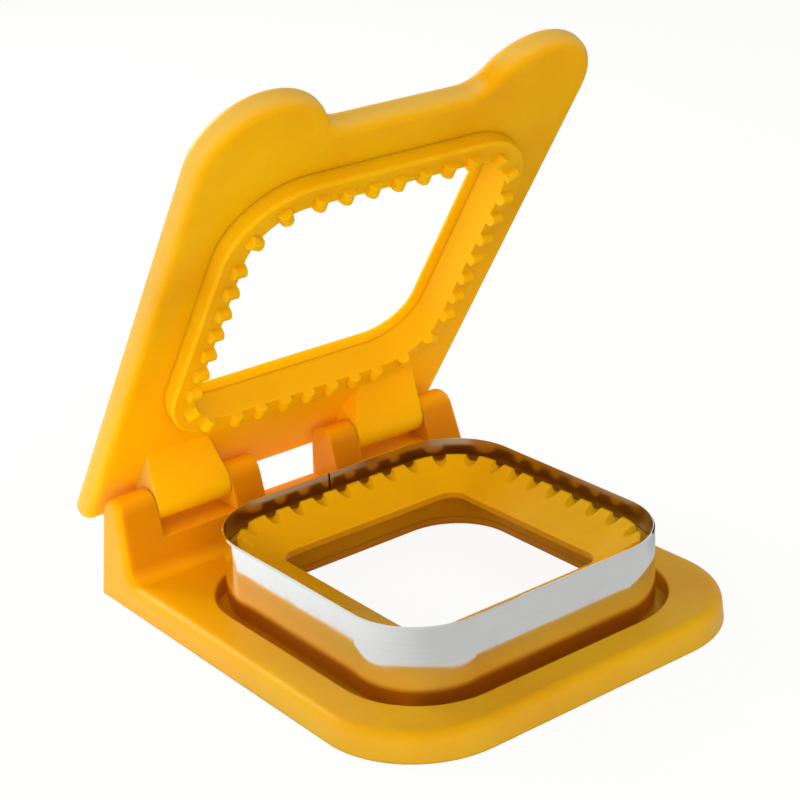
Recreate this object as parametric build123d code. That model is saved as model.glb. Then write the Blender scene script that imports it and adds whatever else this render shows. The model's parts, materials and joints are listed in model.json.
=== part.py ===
from build123d import *
import math
import os

# A hand press that cuts the crust off a filled sandwich and crimps its edge.
# A square steel band stands in a plastic tray and a hinged lid presses down on it.
# Millimetres. X runs along the hinge, -Y is the front, Z is up, and the tray stands on Z = 0.
# The stored pose has the lid half open.

# The square band, and every ring that is concentric with it
BAND_HALF = 45.0
BAND_THICK = 0.5
BAND_TOP = 25.4
CORNER_CENTRE = 24.8
SEAM_X = -1.4
SEAM_WIDTH = 0.35
SEAM_DEPTH = 0.25
RIM_BEVEL = (0.3, 0.5)

# The tray
TRAY_HALF_WIDTH = 59.2
TRAY_FRONT = -59.1
TRAY_BACK = 73.4
TRAY_FRONT_RADIUS = 27.0
TRAY_TOP = 7.0
TRAY_DRAFT = 5.0
TRAY_EDGE_RADIUS = 2.8
WALL = 2.4
WELL_GAP = 3.2
WELL_FLOOR = 2.0
WELL_BEVEL = 0.4
OPENING_HALF = 42.5
RIB_THICK = 1.8
RIB_TOP = 4.0
RIB_AT = 24.0

# How far a cutting solid runs past what it cuts
OVERCUT = 1.0

# The hinge
HINGE_Y = 66.8
HINGE_Z = 23.0
BARREL_RADIUS = 4.8
INNER_LUG = (12.2, 21.5)
OUTER_LUG_INSIDE = 45.2
SIDE_GAP = 0.3
RISER_FOOT = 57.4
RISER_FILLET = 4.5
POCKET_FLOOR = 15.8
LOW_WALL_TOP = 12.4
CORE_TOP = 13.4
CORE_Y = (61.2, 70.3)
CORE_OUTSIDE = 55.4
PIN_RADIUS = 1.5
PIN_SEAT_GAP = 0.02
PIN_TURN_GAP = 0.05
PIN_FROM = 14.4
PIN_TO = 54.4

# The lower crimp ring
SHELF_HALF = 29.5
SHELF_EDGE_Z = (14.0, 15.7)
SHELF_LIP = 1.2
CREST_HALF = (40.6, 41.4)
CREST_Z = 22.0
LEDGE_Z = 19.0
SKIRT_GAP = 0.1
SKIRT_CEILING = 16.0
NOTCH_RADIUS = 1.9
NOTCH_FLOOR = 20.1
NOTCH_START = 36.5
NOTCH_END = 43.0

# Where the teeth stand, for one quarter of the ring
TOOTH_PITCH = 7.75
STRAIGHT_TEETH = 7
CORNER_TOOTH_ANGLE = 17.0

# The lid, as it lies when closed
LID_OPEN = 55.8
LID_INNER_Z = 30.0
LID_OUTER_Z = 36.8
LID_HALF_WIDTH = 58.9
LID_FRONT = HINGE_Y - 126.3
LID_BACK = HINGE_Y + 12.0
LID_BACK_RADIUS = 3.4
LID_EDGE_RADIUS = 3.1
EAR_RADIUS = 18.7
EAR_REACH = 120.5
EAR_FILLET = 7.0
WINDOW_HALF = 39.6
WINDOW_LIP_HALF = 37.4
WINDOW_LIP_Z = (34.4, 35.7)
WINDOW_BEVEL = 0.6
ARM_FRONT = HINGE_Y - 12.0
ARM_FILLET = 4.5
ARM_TAPER = 3.2

# The upper crimp ring, as it lies when closed
PAD_HALF = 46.2
PAD_FACE_Z = BAND_TOP + 0.15
PAD_BEVEL = 0.6
SPIGOT_HALF = 41.2
SPIGOT_GAP = 0.05
FINGER_RADIUS = 1.75
FINGER_AXIS_Z = PAD_FACE_Z - 0.55
FINGER_OUT = 43.0


def lid_reach_back():
    """How far behind the hinge the open lid's rounded end stands."""
    angle = math.radians(LID_OPEN)
    end = LID_BACK - HINGE_Y - LID_EDGE_RADIUS
    rise = LID_OUTER_Z - HINGE_Z - LID_EDGE_RADIUS
    return end * math.cos(angle) + rise * math.sin(angle) + LID_EDGE_RADIUS


# The origin is under the middle of the whole object, so the ring's centre stands in front of it.
RING_Y = -(TRAY_FRONT + HINGE_Y + lid_reach_back()) / 2


def rounded_square(half, z):
    """A square of the ring family: its corners share their centres with the band's corners."""
    return Pos(0, 0, z) * RectangleRounded(2 * half, 2 * half, half - CORNER_CENTRE)


def prism(half, z0, z1):
    return extrude(rounded_square(half, z0), amount=z1 - z0)


def ring_of(*corners):
    """A ring with one section all round, its corners given as (distance from the middle, height)."""
    section = make_face(Polyline(*corners, close=True))
    side = extrude(Plane.XZ.offset(-CORNER_CENTRE) * section, amount=2 * CORNER_CENTRE)
    bend = revolve(Plane.XZ * Pos(-CORNER_CENTRE, 0) * section, Axis.Z, revolution_arc=90)
    quarter = [side, Pos(CORNER_CENTRE, CORNER_CENTRE, 0) * bend]
    pieces = [Rot(0, 0, 90 * i) * piece for i in range(4) for piece in quarter]
    return pieces[0] + pieces[1:]


def tooth_places():
    """Angle and centre line of each tooth: a straight row on each side and two in each corner."""
    places = []
    for side in range(4):
        turn = 90 * side
        for i in range(STRAIGHT_TEETH):
            places.append((turn, (i - (STRAIGHT_TEETH - 1) / 2) * TOOTH_PITCH, 0))
        for lean in (45 - CORNER_TOOTH_ANGLE, 45 + CORNER_TOOTH_ANGLE):
            places.append((turn, CORNER_CENTRE, lean))
    return places


def along_ring(shape, place):
    """Moves a shape made along +X, with X as its distance from the ring's centre, to a place."""
    turn, along, lean = place
    if lean == 0:
        return Rot(0, 0, turn) * Pos(0, along, 0) * shape
    centred = Rot(0, 0, lean) * Pos(-CORNER_CENTRE, 0, 0) * shape
    return Rot(0, 0, turn) * Pos(CORNER_CENTRE, CORNER_CENTRE, 0) * centred


def bar_x(radius, x0, x1, y, z):
    """A round bar parallel to X."""
    return Pos((x0 + x1) / 2, y, z) * Rot(0, 90, 0) * Cylinder(radius, x1 - x0)


def slab(x0, x1, y0, y1, z0, z1):
    return Pos((x0 + x1) / 2, (y0 + y1) / 2, (z0 + z1) / 2) * Box(x1 - x0, y1 - y0, z1 - z0)


def across_x(profile, x0, x1):
    """Extrudes a profile drawn in Y and Z from x0 to x1."""
    return extrude(Plane.YZ.offset(x0) * profile, amount=x1 - x0)


def barrel_touch(point, side):
    """Angle on the hinge barrel, in degrees, where a line from a point outside it just touches."""
    dy, dz = point[0] - HINGE_Y, point[1] - HINGE_Z
    return math.degrees(math.atan2(dz, dy) + side * math.acos(BARREL_RADIUS / math.hypot(dy, dz)))


def on_barrel(angle):
    angle = math.radians(angle)
    return (HINGE_Y + BARREL_RADIUS * math.cos(angle), HINGE_Z + BARREL_RADIUS * math.sin(angle))


def edge_section(height, reach):
    """Half of the tray's section, out from a line that stands a reach inside its drafted side."""
    lean = height * math.tan(math.radians(TRAY_DRAFT))
    return make_face(Polyline((0, 0), (reach, 0), (reach - lean, height), (0, height), close=True))


def plate():
    """The tray's plate: drafted sides, a rounded top edge, and wide round corners at the front."""
    reach = TRAY_FRONT_RADIUS
    x, y = TRAY_HALF_WIDTH - reach, TRAY_FRONT + reach
    section = edge_section(TRAY_TOP, reach)
    section = fillet(section.vertices().sort_by_distance((reach, TRAY_TOP, 0))[0], TRAY_EDGE_RADIUS)
    side = Pos(x, HINGE_Y, 0) * extrude(Plane.XZ * section, amount=HINGE_Y - y)
    corner = Pos(x, y, 0) * Rot(0, 0, -90) * revolve(Plane.XZ * section, Axis.Z, revolution_arc=90)
    front = Rot(0, 0, -90) * Pos(-y, x, 0) * extrude(Plane.XZ * section, amount=2 * x)
    middle = slab(-x, x, y, HINGE_Y, 0, TRAY_TOP)
    return middle + [side, corner, front, mirror(side, about=Plane.YZ), mirror(corner, about=Plane.YZ)]


def riser_face(outline):
    """Makes a riser's side view, with the hollow corner where its front meets the tray rounded."""
    face = make_face(outline)
    foot = face.vertices().sort_by_distance((RISER_FOOT, TRAY_TOP, 0))[0]
    return fillet(foot, RISER_FILLET)


def riser_lines(top):
    """The straight lines of a riser, which starts and ends at the two ends of its top."""
    front = RISER_FOOT - 2 * RISER_FILLET
    feet = [(TRAY_BACK, 0), (front, 0), (front, TRAY_TOP), (RISER_FOOT, TRAY_TOP)]
    return Polyline(top[0], *feet, top[1])


def station_profile():
    """Side view of a hinge station: its front and its back run up into the barrel."""
    back = barrel_touch((TRAY_BACK, 0), 1)
    front = barrel_touch((RISER_FOOT, TRAY_TOP), -1) + 360
    lines = riser_lines((on_barrel(back), on_barrel(front))).edges()
    return riser_face(lines + [CenterArc((HINGE_Y, HINGE_Z), BARREL_RADIUS, back, front - back)])


def low_wall_profile():
    """Side view of the wall between the stations, on the lines of their front and back."""
    ends = []
    for (y, z), side in (((TRAY_BACK, 0), 1), ((RISER_FOOT, TRAY_TOP), -1)):
        touch = on_barrel(barrel_touch((y, z), side))
        share = (LOW_WALL_TOP - z) / (touch[1] - z)
        ends.append((y + (touch[0] - y) * share, LOW_WALL_TOP))
    return riser_face(riser_lines(ends).edges() + [Line(ends[1], ends[0])])


def station():
    """The right hinge station, soft along its outer side, with the arm's slot and the pin's bore."""
    above = HINGE_Z + BARREL_RADIUS + OVERCUT
    block = across_x(station_profile(), INNER_LUG[0], TRAY_HALF_WIDTH + OVERCUT)
    block &= Pos(0, TRAY_BACK + OVERCUT, 0) * extrude(Plane.XZ * edge_section(above, TRAY_HALF_WIDTH), amount=TRAY_BACK)
    side = block.faces().sort_by(Axis.X)[-1].edges()
    block = fillet(side.filter_by(lambda edge: edge.center().Z > OVERCUT and edge.length > OVERCUT), TRAY_EDGE_RADIUS)
    block -= slab(INNER_LUG[1], OUTER_LUG_INSIDE, 0, TRAY_BACK + OVERCUT, POCKET_FLOOR, above)
    return block - bar_x(PIN_RADIUS + PIN_SEAT_GAP, PIN_FROM - SIDE_GAP, PIN_TO + SIDE_GAP, HINGE_Y, HINGE_Z)


def tray_underside():
    """The space under the tray: the moulding is a skin with an outer wall, a well wall and ribs."""
    width, front, back = 2 * (TRAY_HALF_WIDTH - WALL), TRAY_FRONT + WALL, CORE_Y[1]
    outline = Pos(0, (back + front) / 2) * Rectangle(width, back - front)
    outline = fillet(outline.vertices().group_by(Axis.Y)[0], TRAY_FRONT_RADIUS - WALL)
    hollow = extrude(outline, amount=TRAY_TOP - WALL)
    hollow -= prism(BAND_HALF + WELL_GAP + WALL, 0, TRAY_TOP)
    for at in (-RIB_AT, RIB_AT):
        hollow -= slab(-TRAY_HALF_WIDTH, TRAY_HALF_WIDTH, at - RIB_THICK / 2, at + RIB_THICK / 2, 0, RIB_TOP)
        hollow -= slab(at - RIB_THICK / 2, at + RIB_THICK / 2, TRAY_FRONT, TRAY_BACK, 0, RIB_TOP)
    for side in (-1, 1):
        inner, outer = sorted((side * (INNER_LUG[0] + WALL), side * CORE_OUTSIDE))
        hollow += slab(inner, outer, *CORE_Y, 0, CORE_TOP)
    return hollow


def tray():
    """Plate, well, hinge riser and lugs in one moulding."""
    body = plate() + across_x(low_wall_profile(), -INNER_LUG[0], INNER_LUG[0])
    right = station()
    body += [right, mirror(right, about=Plane.YZ)]
    well = BAND_HALF + WELL_GAP
    body -= prism(well, WELL_FLOOR, BAND_TOP)
    body -= prism(OPENING_HALF, -OVERCUT, TRAY_TOP)
    level = TRAY_TOP - WELL_BEVEL
    body -= ring_of((well - OVERCUT, level), (well, level), (well + WELL_BEVEL, TRAY_TOP), (well - OVERCUT, TRAY_TOP))
    return body - tray_underside()


def band():
    """The cutting strip, bent square, with its top edge bevelled and its ends butted at the back."""
    in_by, down_by = RIM_BEVEL
    inner = BAND_HALF - BAND_THICK
    edge = [(BAND_HALF, BAND_TOP - down_by), (BAND_HALF - in_by, BAND_TOP), (inner, BAND_TOP)]
    tube = ring_of((inner, WELL_FLOOR), (BAND_HALF, WELL_FLOOR), *edge)
    return tube - slab(SEAM_X - SEAM_WIDTH / 2, SEAM_X + SEAM_WIDTH / 2, 0, inner + SEAM_DEPTH, 0, BAND_TOP + OVERCUT)


def lower_ring():
    """The skirt that backs the band, and the shelf that slopes up into the notched crest."""
    outside = BAND_HALF - BAND_THICK - SKIRT_GAP
    edge_low, edge_high = SHELF_EDGE_Z
    inner, outer = CREST_HALF
    skirt = [(OPENING_HALF, SKIRT_CEILING), (OPENING_HALF, WELL_FLOOR), (outside, WELL_FLOOR), (outside, LEDGE_Z)]
    crest = [(outer, LEDGE_Z), (outer, CREST_Z), (inner, CREST_Z)]
    shelf = [(SHELF_HALF, edge_high), (SHELF_HALF, edge_low), (SHELF_HALF + SHELF_LIP, edge_low)]
    ring = ring_of(*skirt, *crest, *shelf)
    axis_z = NOTCH_FLOOR + NOTCH_RADIUS
    notch = bar_x(NOTCH_RADIUS, NOTCH_START, NOTCH_END, 0, axis_z)
    notch += slab(NOTCH_START, NOTCH_END, -NOTCH_RADIUS, NOTCH_RADIUS, axis_z, CREST_Z + OVERCUT)
    return ring - [along_ring(notch, place) for place in tooth_places()]


def lid_outline():
    """The lid seen from above: straight sides, rounded back corners and an ear at each front corner."""
    ear_y = HINGE_Y - EAR_REACH
    ear_x = LID_HALF_WIDTH - EAR_RADIUS
    drop = LID_FRONT - EAR_FILLET - ear_y
    across = math.sqrt((EAR_RADIUS + EAR_FILLET) ** 2 - drop ** 2)
    flat_x = ear_x - across
    turn = math.degrees(math.atan2(-drop, across))
    edges = [
        Line((LID_HALF_WIDTH, LID_BACK - LID_BACK_RADIUS), (LID_HALF_WIDTH, ear_y)),
        CenterArc((ear_x, ear_y), EAR_RADIUS, 0, -(180 - turn)),
        CenterArc((flat_x, LID_FRONT - EAR_FILLET), EAR_FILLET, turn, 90 - turn),
        CenterArc((LID_HALF_WIDTH - LID_BACK_RADIUS, LID_BACK - LID_BACK_RADIUS), LID_BACK_RADIUS, 0, 90),
    ]
    edges += [mirror(edge, about=Plane.YZ) for edge in edges]
    edges.append(Line((-flat_x, LID_FRONT), (flat_x, LID_FRONT)))
    back_x = LID_HALF_WIDTH - LID_BACK_RADIUS
    edges.append(Line((-back_x, LID_BACK), (back_x, LID_BACK)))
    return make_face(edges)


def arm_profile():
    """Side view of a hinge arm: a barrel that runs forward into the lid's inner face."""
    back, into = HINGE_Y + BARREL_RADIUS, LID_INNER_Z + OVERCUT
    front = (ARM_FRONT, LID_INNER_Z)
    low = barrel_touch(front, 1)
    end = ARM_FRONT - 2 * ARM_FILLET
    lines = Polyline((back, HINGE_Z), (back, into), (end, into), (end, LID_INNER_Z), front, on_barrel(low))
    face = make_face(lines.edges() + [CenterArc((HINGE_Y, HINGE_Z), BARREL_RADIUS, low, 360 - low)])
    return fillet(face.vertices().sort_by_distance((*front, 0))[0], ARM_FILLET)


def arm():
    """The right hinge arm. Forward of the barrel its inner side runs outward, so its foot is narrower."""
    inner, outer = INNER_LUG[1] + SIDE_GAP, OUTER_LUG_INSIDE - SIDE_GAP
    back, start = HINGE_Y + BARREL_RADIUS + OVERCUT, HINGE_Y - BARREL_RADIUS
    end = ARM_FRONT - 2 * ARM_FILLET
    narrowed = inner + ARM_TAPER * (start - end) / (start - ARM_FRONT)
    plan = make_face(Polyline((inner, back), (inner, start), (narrowed, end), (outer, end), (outer, back), close=True))
    return across_x(arm_profile(), inner, outer) & extrude(plan, amount=LID_OUTER_Z)


def lid():
    """The lid frame, closed: a soft-edged plate with ears, a window and two hinge arms."""
    plate = extrude(Pos(0, 0, LID_INNER_Z) * lid_outline(), amount=LID_OUTER_Z - LID_INNER_Z)
    flat = plate.faces().filter_by(Axis.Z)
    plate = fillet([edge for face in flat for edge in face.edges()], LID_EDGE_RADIUS)
    plate += [arm(), mirror(arm(), about=Plane.YZ)]
    plate -= bar_x(PIN_RADIUS + PIN_TURN_GAP, -TRAY_HALF_WIDTH, TRAY_HALF_WIDTH, HINGE_Y, HINGE_Z)
    seat = SPIGOT_HALF + SPIGOT_GAP
    plate -= prism(seat, LID_INNER_Z - OVERCUT, LID_OUTER_Z + OVERCUT)
    step, lip = WINDOW_LIP_Z
    inside = [(WINDOW_HALF, step), (WINDOW_LIP_HALF, lip), (WINDOW_LIP_HALF, LID_OUTER_Z - WINDOW_BEVEL)]
    outside = [(WINDOW_LIP_HALF + WINDOW_BEVEL, LID_OUTER_Z), (seat + OVERCUT, LID_OUTER_Z), (seat + OVERCUT, step)]
    return plate + ring_of(*inside, *outside)


def upper_ring():
    """The raised square that meets the band's rim, closed, with its fingers and the spigot that seats it."""
    face = [(WINDOW_HALF, PAD_FACE_Z), (PAD_HALF - PAD_BEVEL, PAD_FACE_Z), (PAD_HALF, PAD_FACE_Z + PAD_BEVEL)]
    spigot = [(SPIGOT_HALF, LID_INNER_Z), (SPIGOT_HALF, WINDOW_LIP_Z[0]), (WINDOW_HALF, WINDOW_LIP_Z[0])]
    ring = ring_of(*face, (PAD_HALF, LID_INNER_Z), *spigot)
    start = WINDOW_HALF - OVERCUT
    finger = bar_x(FINGER_RADIUS, start, FINGER_OUT, 0, FINGER_AXIS_Z)
    finger += slab(start, FINGER_OUT, -FINGER_RADIUS, FINGER_RADIUS, FINGER_AXIS_Z, PAD_FACE_Z + OVERCUT)
    ring += [along_ring(finger, place) for place in tooth_places()]
    return ring - prism(WINDOW_HALF, 0, LID_INNER_Z)


def pin(side):
    x0, x1 = sorted((side * PIN_FROM, side * PIN_TO))
    return bar_x(PIN_RADIUS, x0, x1, HINGE_Y, HINGE_Z)


def opened(shape):
    """Swings a closed lid part about the hinge to the stored pose."""
    hinge = Pos(0, HINGE_Y, HINGE_Z)
    return hinge * Rot(-LID_OPEN, 0, 0) * Pos(0, -HINGE_Y, -HINGE_Z) * shape


def write(name, shape):
    export_step(Pos(0, RING_Y, 0) * shape, f"parts/{name}.step")


os.makedirs("parts", exist_ok=True)
write("base_tray", tray())
write("cutter_band", band())
write("lower_crimp_ring", lower_ring())
write("hinge_pin_left", pin(-1))
write("hinge_pin_right", pin(1))
write("lid_frame", opened(lid()))
write("upper_crimp_ring", opened(upper_ring()))
print("ring centre at y", round(RING_Y, 3))
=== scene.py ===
import json
import math

import bpy
from mathutils import Matrix, Vector


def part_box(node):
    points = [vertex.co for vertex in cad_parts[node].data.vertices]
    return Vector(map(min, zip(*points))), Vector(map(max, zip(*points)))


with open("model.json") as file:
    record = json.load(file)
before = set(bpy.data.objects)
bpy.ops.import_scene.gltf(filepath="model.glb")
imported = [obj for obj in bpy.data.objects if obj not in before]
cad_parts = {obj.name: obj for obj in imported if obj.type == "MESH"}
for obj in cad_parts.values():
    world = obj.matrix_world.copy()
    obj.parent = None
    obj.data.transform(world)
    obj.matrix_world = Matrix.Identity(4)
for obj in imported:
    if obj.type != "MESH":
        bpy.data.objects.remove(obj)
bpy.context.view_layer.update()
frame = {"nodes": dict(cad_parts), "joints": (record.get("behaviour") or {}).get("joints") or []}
nodes = frame["nodes"]

# Millimetres in the scene's metres
MM = 0.001

# The places of the Mix node's sockets for colours
MIX_SHARE = 0
MIX_FIRST = 6
MIX_SECOND = 7
MIX_RESULT = 2


class Shade:
    """A number that changes over a surface. Arithmetic on it adds the Math nodes that work it out."""

    def __init__(self, finish, socket):
        self.finish = finish
        self.socket = socket

    def _with(self, operation, *others):
        inputs = {index: value for index, value in enumerate(others)}
        return self.finish.node("ShaderNodeMath", {"operation": operation}, inputs)["Value"]

    def __add__(self, other):
        return self._with("ADD", self, other)

    def __sub__(self, other):
        return self._with("SUBTRACT", self, other)

    def __rsub__(self, other):
        return self._with("SUBTRACT", other, self)

    def __mul__(self, other):
        return self._with("MULTIPLY", self, other)

    __radd__ = __add__
    __rmul__ = __mul__


class Outputs:
    """A made node's outputs by name or place, each as a Shade."""

    def __init__(self, finish, made):
        self.finish = finish
        self.made = made

    def __getitem__(self, name):
        return Shade(self.finish, self.made.outputs[name])


class Finish:
    """A material under construction, with one Principled surface."""

    def __init__(self, name):
        self.material = bpy.data.materials.new(name)
        self.material.use_nodes = True
        self.tree = self.material.node_tree
        self.surface = self.tree.nodes["Principled BSDF"]

    def node(self, kind, settings=None, inputs=None):
        """Makes a node: its settings first, then the values or links of its sockets."""
        made = self.tree.nodes.new(kind)
        for key, value in (settings or {}).items():
            if key == "stops":
                self._ramp(made.color_ramp, value)
            else:
                setattr(made, key, value)
        for key, value in (inputs or {}).items():
            self.feed(made.inputs[key], value)
        return Outputs(self, made)

    @staticmethod
    def _ramp(ramp, stops):
        while len(ramp.elements) < len(stops):
            ramp.elements.new(1.0)
        for element, (position, colour) in zip(ramp.elements, stops):
            element.position = position
            element.color = (*colour, 1.0)

    def feed(self, socket, value):
        if isinstance(value, Shade):
            self.tree.links.new(value.socket, socket)
        elif isinstance(value, tuple) and len(value) == 3 and socket.type == "RGBA":
            socket.default_value = (*value, 1.0)
        else:
            socket.default_value = value

    def here(self):
        """The point's place in the object's own metres, which keep with a part that moves."""
        return self.node("ShaderNodeTexCoord")["Object"]

    def place(self, stretch=(1.0, 1.0, 1.0)):
        """The point's place, stretched for a directional pattern."""
        return self.node("ShaderNodeMapping", {}, {"Vector": self.here(), "Scale": stretch})["Vector"]

    def noise(self, size, where=None, detail=2.0, rough=0.5):
        """Cloudy noise from 0 to 1 whose blotches are about size metres across."""
        inputs = {"Vector": where or self.place(), "Scale": 1.0 / size, "Detail": detail, "Roughness": rough}
        return self.node("ShaderNodeTexNoise", {}, inputs)["Fac"]

    def ramp(self, value, *stops):
        """A grey ramp through (position, level) stops."""
        grey = [(position, (level,) * 3) for position, level in stops]
        return self.node("ShaderNodeValToRGB", {"stops": grey}, {"Fac": value})["Color"]

    def vectors(self, operation, first, second=None):
        """A Vector Math node on one vector or two."""
        inputs = {0: first} if second is None else {0: first, 1: second}
        return self.node("ShaderNodeVectorMath", {"operation": operation}, inputs)

    def dot(self, first, second):
        """The product of two directions: 1 where they agree and 0 where they are square to each other."""
        return self.vectors("DOT_PRODUCT", first, second)["Value"]

    def away_from(self, point):
        """The way from a fixed point, in the object's own metres, to this one."""
        return self.vectors("SUBTRACT", self.here(), point)["Vector"]

    def own_normal(self):
        """The surface's direction in the object's own axes."""
        return self.node("ShaderNodeTexCoord")["Normal"]

    def outward(self, node):
        """How far, in metres, the point stands from the middle of a CAD node, along its own direction."""
        low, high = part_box(node)
        middle = tuple((low + high) / 2)
        return self.dot(self.away_from(middle), self.own_normal())

    def from_hinge(self):
        """The point's distance, in metres, from the hinge axis, which a swing of the lid doesn't change."""
        square = self.vectors("MULTIPLY", self.away_from(HINGE), SQUARE_TO_HINGE)["Vector"]
        return self.vectors("LENGTH", square)["Value"]

    def mix(self, share, first, second, kind="MIX"):
        """A colour from first to second, as share goes from 0 to 1."""
        settings = {"data_type": "RGBA", "blend_type": kind}
        inputs = {MIX_SHARE: share, MIX_FIRST: first, MIX_SECOND: second}
        return self.node("ShaderNodeMix", settings, inputs)[MIX_RESULT]

    def bump(self, height, depth, strength, normal=None):
        """The surface's direction with bumps on it, depth metres high where height goes from 0 to 1."""
        inputs = {"Height": height, "Distance": depth, "Strength": strength}
        if normal is not None:
            inputs["Normal"] = normal
        return self.node("ShaderNodeBump", {}, inputs)["Normal"]

    def set(self, **inputs):
        """Feeds the surface: Base_Color stands for the socket Base Color."""
        for key, value in inputs.items():
            self.feed(self.surface.inputs[key.replace("_", " ")], value)
        return self.material


# A point of the hinge axis, and the directions square to the axis
HINGE = tuple(frame["joints"][0]["pos_m"])
SQUARE_TO_HINGE = (0, 1, 1)

# The plastic's colours: gold, with paler specks and a painted highlight on edges, warmer near the hinge by a
# painted glow, paler on the walls that look out by a painted sheen, and other tones on the walls that look
# in:
# painted shade in the tray and lower ring, painted light in the lid
GOLD = (0.71, 0.385, 0.002)
GOLD_DEEP = (0.67, 0.310, 0.001)
GOLD_PALE = (0.80, 0.48, 0.030)
# Painted glow near the hinge, on the lid and on the tray, standing for light passing through the plastic
LID_HINGE_GLOW = (1.0, 0.480, 0.001)
TRAY_HINGE_GLOW = (1.0, 0.410, 0.001)
# Painted shade on the inward-looking walls of the tray and lower ring
WELL_WALL_SHADE = (0.62, 0.190, 0.001)
# Painted light on the inward-looking walls of the lid and upper ring
WINDOW_WALL_LIGHT = (1.0, 0.450, 0.004)
# Painted sheen on the side walls that look outward
RIM_SHEEN = (0.60, 0.41, 0.100)
GLOSS_TINT = (1.0, 0.80, 0.25)

# The lengths that distances from the hinge, and from the middle of a moulding, are measured in
HINGE_REACH = 120 * MM
RIM_REACH = 40 * MM

# The plastic's patterns: the sizes of their blotches, the depths of their bumps and the edges' soft radius
FLOW_SIZE = 30 * MM
SPECK_SIZE = 1.6 * MM
RUBBED_SIZE = 11 * MM
PEEL_SIZE = 0.9 * MM
PEEL_DEPTH = 0.012 * MM
WAVE_SIZE = 9 * MM
WAVE_DEPTH = 0.10 * MM
EDGE_RADIUS = 0.55 * MM

# The plastic's roughness, its refraction, and the share and spread of the light that scatters inside it
SATIN = 0.36
REFRACTION = 1.48
SCATTER_SHARE = 0.4
SCATTER_SPREAD = (0.9, 0.65, 0.05)


def moulded_plastic(name, node, plane, hinge=LID_HINGE_GLOW, inner_wall_light_and_shade=WINDOW_WALL_LIGHT, gloss=0.06, side_sheen=0.6, deep=0.9,
                    shade_scale=1.0, scatter=6 * MM):
    """Satin plastic from a polished mould: slow flow clouds in the colour, a fine orange-peel skin and
    faint rubbed patches. Sharp edges read as turned over by a small radius and carry a painted highlight,
    a shade paler. Near the hinge the colour goes to the given hinge tone, a painted glow that stands for
    light passing through the plastic. Plane is the direction square to the moulding's flat, and on its
    sides the colour goes to a pale tone, a painted sheen, by the given share, where they look away from the
    middle of the node, and to the given wall tone, by the share deep, where they look towards it: painted
    shade on the tray and lower ring, painted light on the lid. A last factor scales all of it, a painted
    shade that makes a part a darker copy of the same plastic, and scatter is how far light spreads inside."""
    finish = Finish(name)
    clouds = finish.noise(FLOW_SIZE, detail=3.0)
    speck = finish.noise(SPECK_SIZE, detail=4.0, rough=0.6)
    soft = finish.node("ShaderNodeBevel", {"samples": 4}, {"Radius": EDGE_RADIUS})["Normal"]
    flat = finish.node("ShaderNodeNewGeometry")["Normal"]
    facing = finish.dot(soft, flat)
    edge = finish.ramp(1.0 - facing, (0.0, 0.0), (0.22, 1.0))
    tone = finish.mix(finish.ramp(clouds, (0.32, 0.0), (0.68, 1.0)), GOLD_DEEP, GOLD)
    # Painted glow: towards the hinge the colour goes to a brighter, warmer tone, standing for light through
    # the plastic
    hinge_glow_share = finish.ramp(finish.from_hinge() * (1 / HINGE_REACH), (0.15, 1.0), (0.65, 0.0))
    tone = finish.mix(hinge_glow_share, tone, hinge)
    tone = finish.mix(finish.ramp(speck, (0.45, 0.0), (0.75, 0.10)), tone, GOLD_PALE)
    # Painted highlight: edges go a shade paler, towards the pale gold, standing for the glint along them
    tone = finish.mix(edge * 0.35, tone, GOLD_PALE)
    across = finish.dot(finish.own_normal(), plane)
    upright = finish.ramp(across * across, (0.0, 1.0), (0.8, 0.0))
    outward = finish.outward(node) * (1 / RIM_REACH)
    inward = 0.0 - outward
    # Painted sheen: side walls that look outward go paler, standing for light glancing off them
    tone = finish.mix(upright * finish.ramp(outward, (0.4, 0.0), (0.9, side_sheen)), tone, RIM_SHEEN)
    # Inward-looking walls go to another tone: painted shade in the tray and lower ring, painted light in the
    # lid
    tone = finish.mix(upright * finish.ramp(inward, (0.2, 0.0), (0.7, deep)), tone, inner_wall_light_and_shade)
    # Painted shade: a factor below 1 darkens the whole part, a darker copy of the same plastic
    tone = finish.mix(1.0, tone, (shade_scale, shade_scale, shade_scale), "MULTIPLY")
    rubbed = finish.ramp(finish.noise(RUBBED_SIZE, detail=5.0, rough=0.65), (0.45, 0.0), (0.7, 1.0))
    skin = finish.bump(finish.noise(PEEL_SIZE, detail=1.0), PEEL_DEPTH, 0.6, soft)
    waves = finish.bump(finish.noise(WAVE_SIZE, detail=1.0), WAVE_DEPTH, 0.5, skin)
    return finish.set(
        Base_Color=tone,
        Roughness=rubbed * 0.10 + edge * -0.05 + SATIN,
        Normal=waves,
        Subsurface_Weight=SCATTER_SHARE,
        Subsurface_Radius=SCATTER_SPREAD,
        Subsurface_Scale=scatter,
        IOR=REFRACTION,
        Specular_IOR_Level=gloss,
        Specular_Tint=(*GLOSS_TINT, 1.0),
    )


# The height of the band's rim, the place and reach of its seam, and the length that its masks are measured in
BAND_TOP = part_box("cutter_band")[1].z
SEAM_X = -1.4 * MM
SEAM_REACH = 0.4 * MM
BAND_REACH = 50 * MM

# The band's colours, and the sizes and depths of its patterns
STEEL = (0.745, 0.755, 0.750)
STEEL_BRIGHT = (0.785, 0.795, 0.790)
STEEL_SMEARED = (0.66, 0.65, 0.63)
# Painted reflection: the foot's tan stands for the tray mirrored in the lower band
FOOT_PAINTED_REFLECTION = (0.98, 0.88, 0.70)
# Painted reflection: the inside's brown stands for the plastic, in shade, mirrored in the band
INSIDE_PAINTED_REFLECTION = (0.46, 0.33, 0.20)
SEAM_DARK = (0.03, 0.02, 0.01)
LINE_SIZE = 0.35 * MM
LINE_DEPTH = 0.0008 * MM
SMEAR_SIZE = 7 * MM
BUCKLE_SIZE = 14 * MM
BUCKLE_DEPTH = 0.12 * MM


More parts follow.
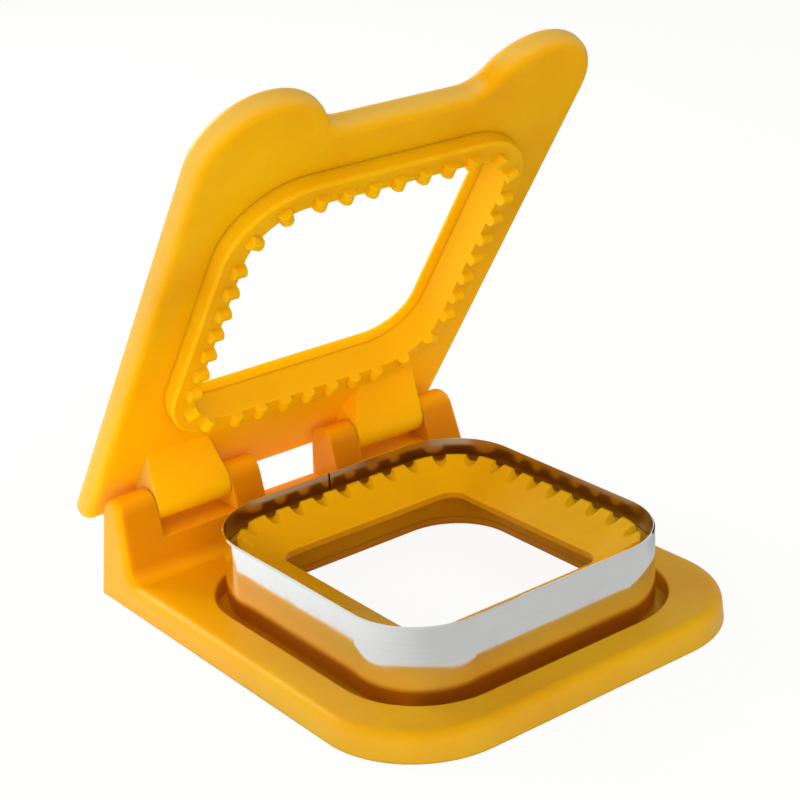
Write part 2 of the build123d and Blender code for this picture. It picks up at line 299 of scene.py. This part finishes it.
def polished_band():
    """Bright rolled strip: fine lines along it, a slow buckle that bends its reflections, light smears, a
    duller foot, where it's pressed into the tray, with a painted tan reflection of the tray on it, a painted
    brown reflection of the shaded plastic on its inside, and the dark line of its seam at the back."""
    finish = Finish("polished_band")
    where = finish.node("ShaderNodeSeparateXYZ", {}, {"Vector": finish.here()})
    foot = finish.ramp(where["Z"] * (1 / BAND_TOP), (0.45, 1.0), (0.62, 0.0))
    back = finish.ramp(where["Y"] * (1 / BAND_REACH), (0.3, 0.0), (0.5, 1.0))
    aside = (where["X"] - SEAM_X) * (1 / SEAM_REACH)
    seam = finish.ramp(aside * aside, (0.1, 1.0), (1.0, 0.0)) * back
    inside = finish.ramp(finish.outward("cutter_band") * (1 / BAND_REACH) + 0.5, (0.3, 1.0), (0.7, 0.0))
    lines = finish.noise(LINE_SIZE, finish.place(stretch=(0.012, 0.012, 1.0)), detail=4.0, rough=0.7)
    smear = finish.noise(SMEAR_SIZE, detail=5.0, rough=0.6)
    buckle = finish.noise(BUCKLE_SIZE, finish.place(stretch=(1.0, 1.0, 0.6)), detail=1.0)
    tone = finish.mix(finish.ramp(lines, (0.3, 0.0), (0.7, 1.0)), STEEL, STEEL_BRIGHT)
    tone = finish.mix(finish.ramp(smear, (0.5, 0.0), (0.8, 0.25)), tone, STEEL_SMEARED)
    # Painted reflection: the lower band goes to a tan that stands for the tray mirrored in it
    tone = finish.mix(foot, tone, FOOT_PAINTED_REFLECTION)
    # Painted reflection: the band's inside face goes to a brown that stands for the shaded plastic mirrored
    # in it
    tone = finish.mix(inside, tone, INSIDE_PAINTED_REFLECTION)
    tone = finish.mix(seam, tone, SEAM_DARK)
    normal = finish.bump(lines, LINE_DEPTH, 0.4, finish.bump(buckle, BUCKLE_DEPTH, 0.5))
    return finish.set(
        Base_Color=tone,
        Metallic=1.0,
        Roughness=finish.ramp(smear, (0.4, 0.06), (0.8, 0.13)) + inside * 0.12 + foot * 0.10,
        Normal=normal,
    )


# The pins' wire: its two tones, and the size and depth of its draw lines
WIRE_DARK = (0.42, 0.42, 0.43)
WIRE_BRIGHT = (0.66, 0.66, 0.67)
WIRE_LINE_SIZE = 0.3 * MM
WIRE_LINE_DEPTH = 0.01 * MM


def drawn_wire():
    """Steel wire with draw lines along it."""
    finish = Finish("drawn_wire")
    lines = finish.noise(WIRE_LINE_SIZE, finish.place(stretch=(0.02, 1.0, 1.0)), detail=4.0)
    return finish.set(
        Base_Color=finish.mix(lines, WIRE_DARK, WIRE_BRIGHT),
        Metallic=1.0,
        Roughness=finish.ramp(lines, (0.3, 0.28), (0.7, 0.42)),
        Normal=finish.bump(lines, WIRE_LINE_DEPTH, 0.5),
    )


def dress(node, material):
    """Gives a CAD node its finish."""
    slots = nodes[node].data.materials
    slots.clear()
    slots.append(material)


# The directions square to the tray and to the open lid
UPRIGHT = (0.0, 0.0, 1.0)
LID_OPEN = math.radians(-frame["joints"][0]["range_deg"][0])
ACROSS_LID = (0.0, math.sin(LID_OPEN), math.cos(LID_OPEN))

# The camera, fitted to the photograph: direction, roll and field of view
CAMERA_AZIMUTH = math.radians(-36.687)
CAMERA_ELEVATION = math.radians(21.854)
CAMERA_ROLL = math.radians(-3.249)
CAMERA_DISTANCE = 547.06 * MM
CAMERA_TARGET = Vector((28.895, 51.098, 36.254)) * MM
FRAME_PIXELS = 800
FOCAL_PIXELS = 1954.85
SENSOR_MM = 36.0


def photograph_camera():
    """A camera on the fitted line of sight, rolled about it."""
    a, e = CAMERA_AZIMUTH, CAMERA_ELEVATION
    back = Vector((math.sin(a) * math.cos(e), -math.cos(a) * math.cos(e), math.sin(e)))
    level = Vector((math.cos(a), math.sin(a), 0.0))
    upright = back.cross(level)
    right = level * math.cos(CAMERA_ROLL) + upright * math.sin(CAMERA_ROLL)
    up = upright * math.cos(CAMERA_ROLL) - level * math.sin(CAMERA_ROLL)
    lens = bpy.data.cameras.new("camera")
    lens.sensor_width = SENSOR_MM
    lens.lens = SENSOR_MM * FOCAL_PIXELS / FRAME_PIXELS
    lens.clip_start, lens.clip_end = 0.01, 20.0
    camera = bpy.data.objects.new("camera", lens)
    turn = Matrix((right, up, back)).transposed().to_4x4()
    low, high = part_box("cutter_band")
    middle = (low + high) / 2
    target = CAMERA_TARGET + Vector((middle.x, middle.y, 0.0))
    camera.matrix_world = Matrix.Translation(target + back * CAMERA_DISTANCE) @ turn
    bpy.context.scene.collection.objects.link(camera)
    bpy.context.scene.camera = camera


def softbox(name, place, target, size, watts, mirrored):
    """A square lamp at place that faces target. One that isn't mirrored leaves no glint."""
    light = bpy.data.lights.new(name, "AREA")
    light.shape = "SQUARE"
    light.size = size
    light.energy = watts
    lamp = bpy.data.objects.new(name, light)
    lamp.location = place
    lamp.visible_glossy = mirrored
    lamp.rotation_euler = (Vector(target) - Vector(place)).to_track_quat("-Z", "Y").to_euler()
    bpy.context.scene.collection.objects.link(lamp)


class Surroundings:
    """The nodes of the floor or the world, whose brightness depends on the kind of ray that sees it."""

    def __init__(self, tree):
        self.tree = tree

    def node(self, kind, operation, *values):
        """Makes a node that works something out from the values or links of its sockets."""
        made = self.tree.nodes.new(kind)
        made.operation = operation
        for socket, value in zip(made.inputs, values):
            if isinstance(value, (int, float, tuple)):
                socket.default_value = value
            else:
                self.tree.links.new(value, socket)
        return made

    def maths(self, operation, *values):
        """The result of a Math node."""
        return self.node("ShaderNodeMath", operation, *values).outputs[0]

    def along(self, coordinate, direction):
        """The coordinate's reach along a direction."""
        where = self.tree.nodes.new("ShaderNodeTexCoord").outputs[coordinate]
        return self.node("ShaderNodeVectorMath", "DOT_PRODUCT", where, direction).outputs["Value"]

    def fade(self, direction, start, over, levels):
        """A level that goes evenly from one value to another along the floor."""
        reach = self.maths("SUBTRACT", self.along("Object", direction), start)
        share = self.node("ShaderNodeMath", "DIVIDE", reach, over)
        share.use_clamp = True
        near, far = levels
        return self.maths("MULTIPLY_ADD", share.outputs[0], far - near, near)

    def seen(self, direct, mirrored):
        """The level direct for the camera and through clear things, and mirrored for mirror-like rays."""
        path = self.tree.nodes.new("ShaderNodeLightPath").outputs
        plain = self.maths("MAXIMUM", path["Is Camera Ray"], path["Is Transmission Ray"])
        straight = self.maths("MULTIPLY", plain, direct)
        return self.maths("MULTIPLY_ADD", path["Is Glossy Ray"], mirrored, straight)


# The floor's reach each way, the share of it that glows for the camera, its own tone, and paper white
FLOOR_HALF = 2.5
FLOOR_SHARE = 0.92
FLOOR_ALBEDO = 0.86
PAPER_WHITE = (1.0, 1.0, 0.985, 1.0)

# The room that the gloss mirrors. The floor fades from bright to dim along two directions, each given
# with the place where the fade starts, its length and the two levels. The sky fades across the room.
FLOOR_FADES = (
    ((0.6, -0.8, 0.0), -85 * MM, 125 * MM, (1.2, 0.66)),
    ((0.8, 0.6, 0.0), 20 * MM, 80 * MM, (1.0, 0.04)),
)
SKY_DIRECTION = (0.6, -0.8, 0.0)
SKY_MIRRORED = (0.95, 0.35)


def floor():
    """A pale sheet that keeps the object's shadow and shows as white."""
    corners = [(x * FLOOR_HALF, y * FLOOR_HALF, 0) for x, y in ((-1, -1), (1, -1), (1, 1), (-1, 1))]
    mesh = bpy.data.meshes.new("floor")
    mesh.from_pydata(corners, [], [(0, 1, 2, 3)])
    sheet = bpy.data.objects.new("floor", mesh)
    bpy.context.scene.collection.objects.link(sheet)
    material = bpy.data.materials.new("floor_white")
    material.use_nodes = True
    tree = material.node_tree
    tree.nodes.remove(tree.nodes["Principled BSDF"])
    around = Surroundings(tree)
    first, second = (around.fade(*values) for values in FLOOR_FADES)
    mirrored = around.maths("MULTIPLY", first, second)
    diffuse = tree.nodes.new("ShaderNodeBsdfDiffuse")
    diffuse.inputs["Color"].default_value = (FLOOR_ALBEDO, FLOOR_ALBEDO, FLOOR_ALBEDO, 1.0)
    glow = tree.nodes.new("ShaderNodeEmission")
    glow.inputs["Color"].default_value = PAPER_WHITE
    tree.links.new(around.seen(1.0, mirrored), glow.inputs["Strength"])
    blend = tree.nodes.new("ShaderNodeMixShader")
    tree.links.new(around.seen(FLOOR_SHARE, 1.0), blend.inputs[0])
    tree.links.new(diffuse.outputs[0], blend.inputs[1])
    tree.links.new(glow.outputs[0], blend.inputs[2])
    tree.links.new(blend.outputs[0], tree.nodes["Material Output"].inputs["Surface"])
    mesh.materials.append(material)


# How bright the sky lights the object, against 1 where it's seen
WORLD_LEVEL = 0.42


def sky():
    """Even pale light all round, seen as white."""
    world = bpy.data.worlds.new("world")
    world.use_nodes = True
    bpy.context.scene.world = world
    tree = world.node_tree
    around = Surroundings(tree)
    near, far = SKY_MIRRORED
    side = around.along("Generated", SKY_DIRECTION)
    mirrored = around.maths("MULTIPLY_ADD", side, (far - near) / 2, (near + far) / 2)
    ground = tree.nodes["Background"]
    ground.inputs["Color"].default_value = PAPER_WHITE
    level = tree.nodes.new("ShaderNodeMapRange")
    level.inputs["To Min"].default_value = WORLD_LEVEL
    level.inputs["To Max"].default_value = 1.0
    tree.links.new(around.seen(1.0, mirrored), level.inputs["Value"])
    tree.links.new(level.outputs["Result"], ground.inputs["Strength"])


# The tray and the lower ring are scaled darker by a painted shade, darker copies of the same plastic
dress("base_tray", moulded_plastic("tray_plastic", "base_tray", UPRIGHT, hinge=TRAY_HINGE_GLOW, inner_wall_light_and_shade=WELL_WALL_SHADE,
                                   gloss=0.2, side_sheen=0.15, deep=0.8, shade_scale=0.91))
dress("lower_crimp_ring", moulded_plastic("lower_ring_plastic", "lower_crimp_ring", UPRIGHT, inner_wall_light_and_shade=WELL_WALL_SHADE,
                                          gloss=0.09, deep=0.62, shade_scale=0.80))
dress("lid_frame", moulded_plastic("lid_plastic", "lid_frame", ACROSS_LID, scatter=8 * MM))
dress("upper_crimp_ring", moulded_plastic("upper_ring_plastic", "upper_crimp_ring", ACROSS_LID, side_sheen=0.0))
dress("cutter_band", polished_band())
wire = drawn_wire()
dress("hinge_pin_left", wire)
dress("hinge_pin_right", wire)

photograph_camera()
floor()
sky()
softbox("key", (-0.85, -0.10, 0.38), target=(0.0, 0.0, 0.06), size=0.6, watts=3.0, mirrored=False)
softbox("front", (-0.42, -0.78, 0.26), target=(0.0, 0.0, 0.05), size=0.6, watts=4.5, mirrored=False)
softbox("above", (0.30, -0.45, 0.80), target=(0.0, 0.0, 0.05), size=0.5, watts=1.7, mirrored=False)
softbox("behind", (-0.15, 0.80, 0.42), target=(0.0, 0.0, 0.06), size=0.5, watts=8.0, mirrored=True)
bpy.context.scene.view_settings.view_transform = "Standard"
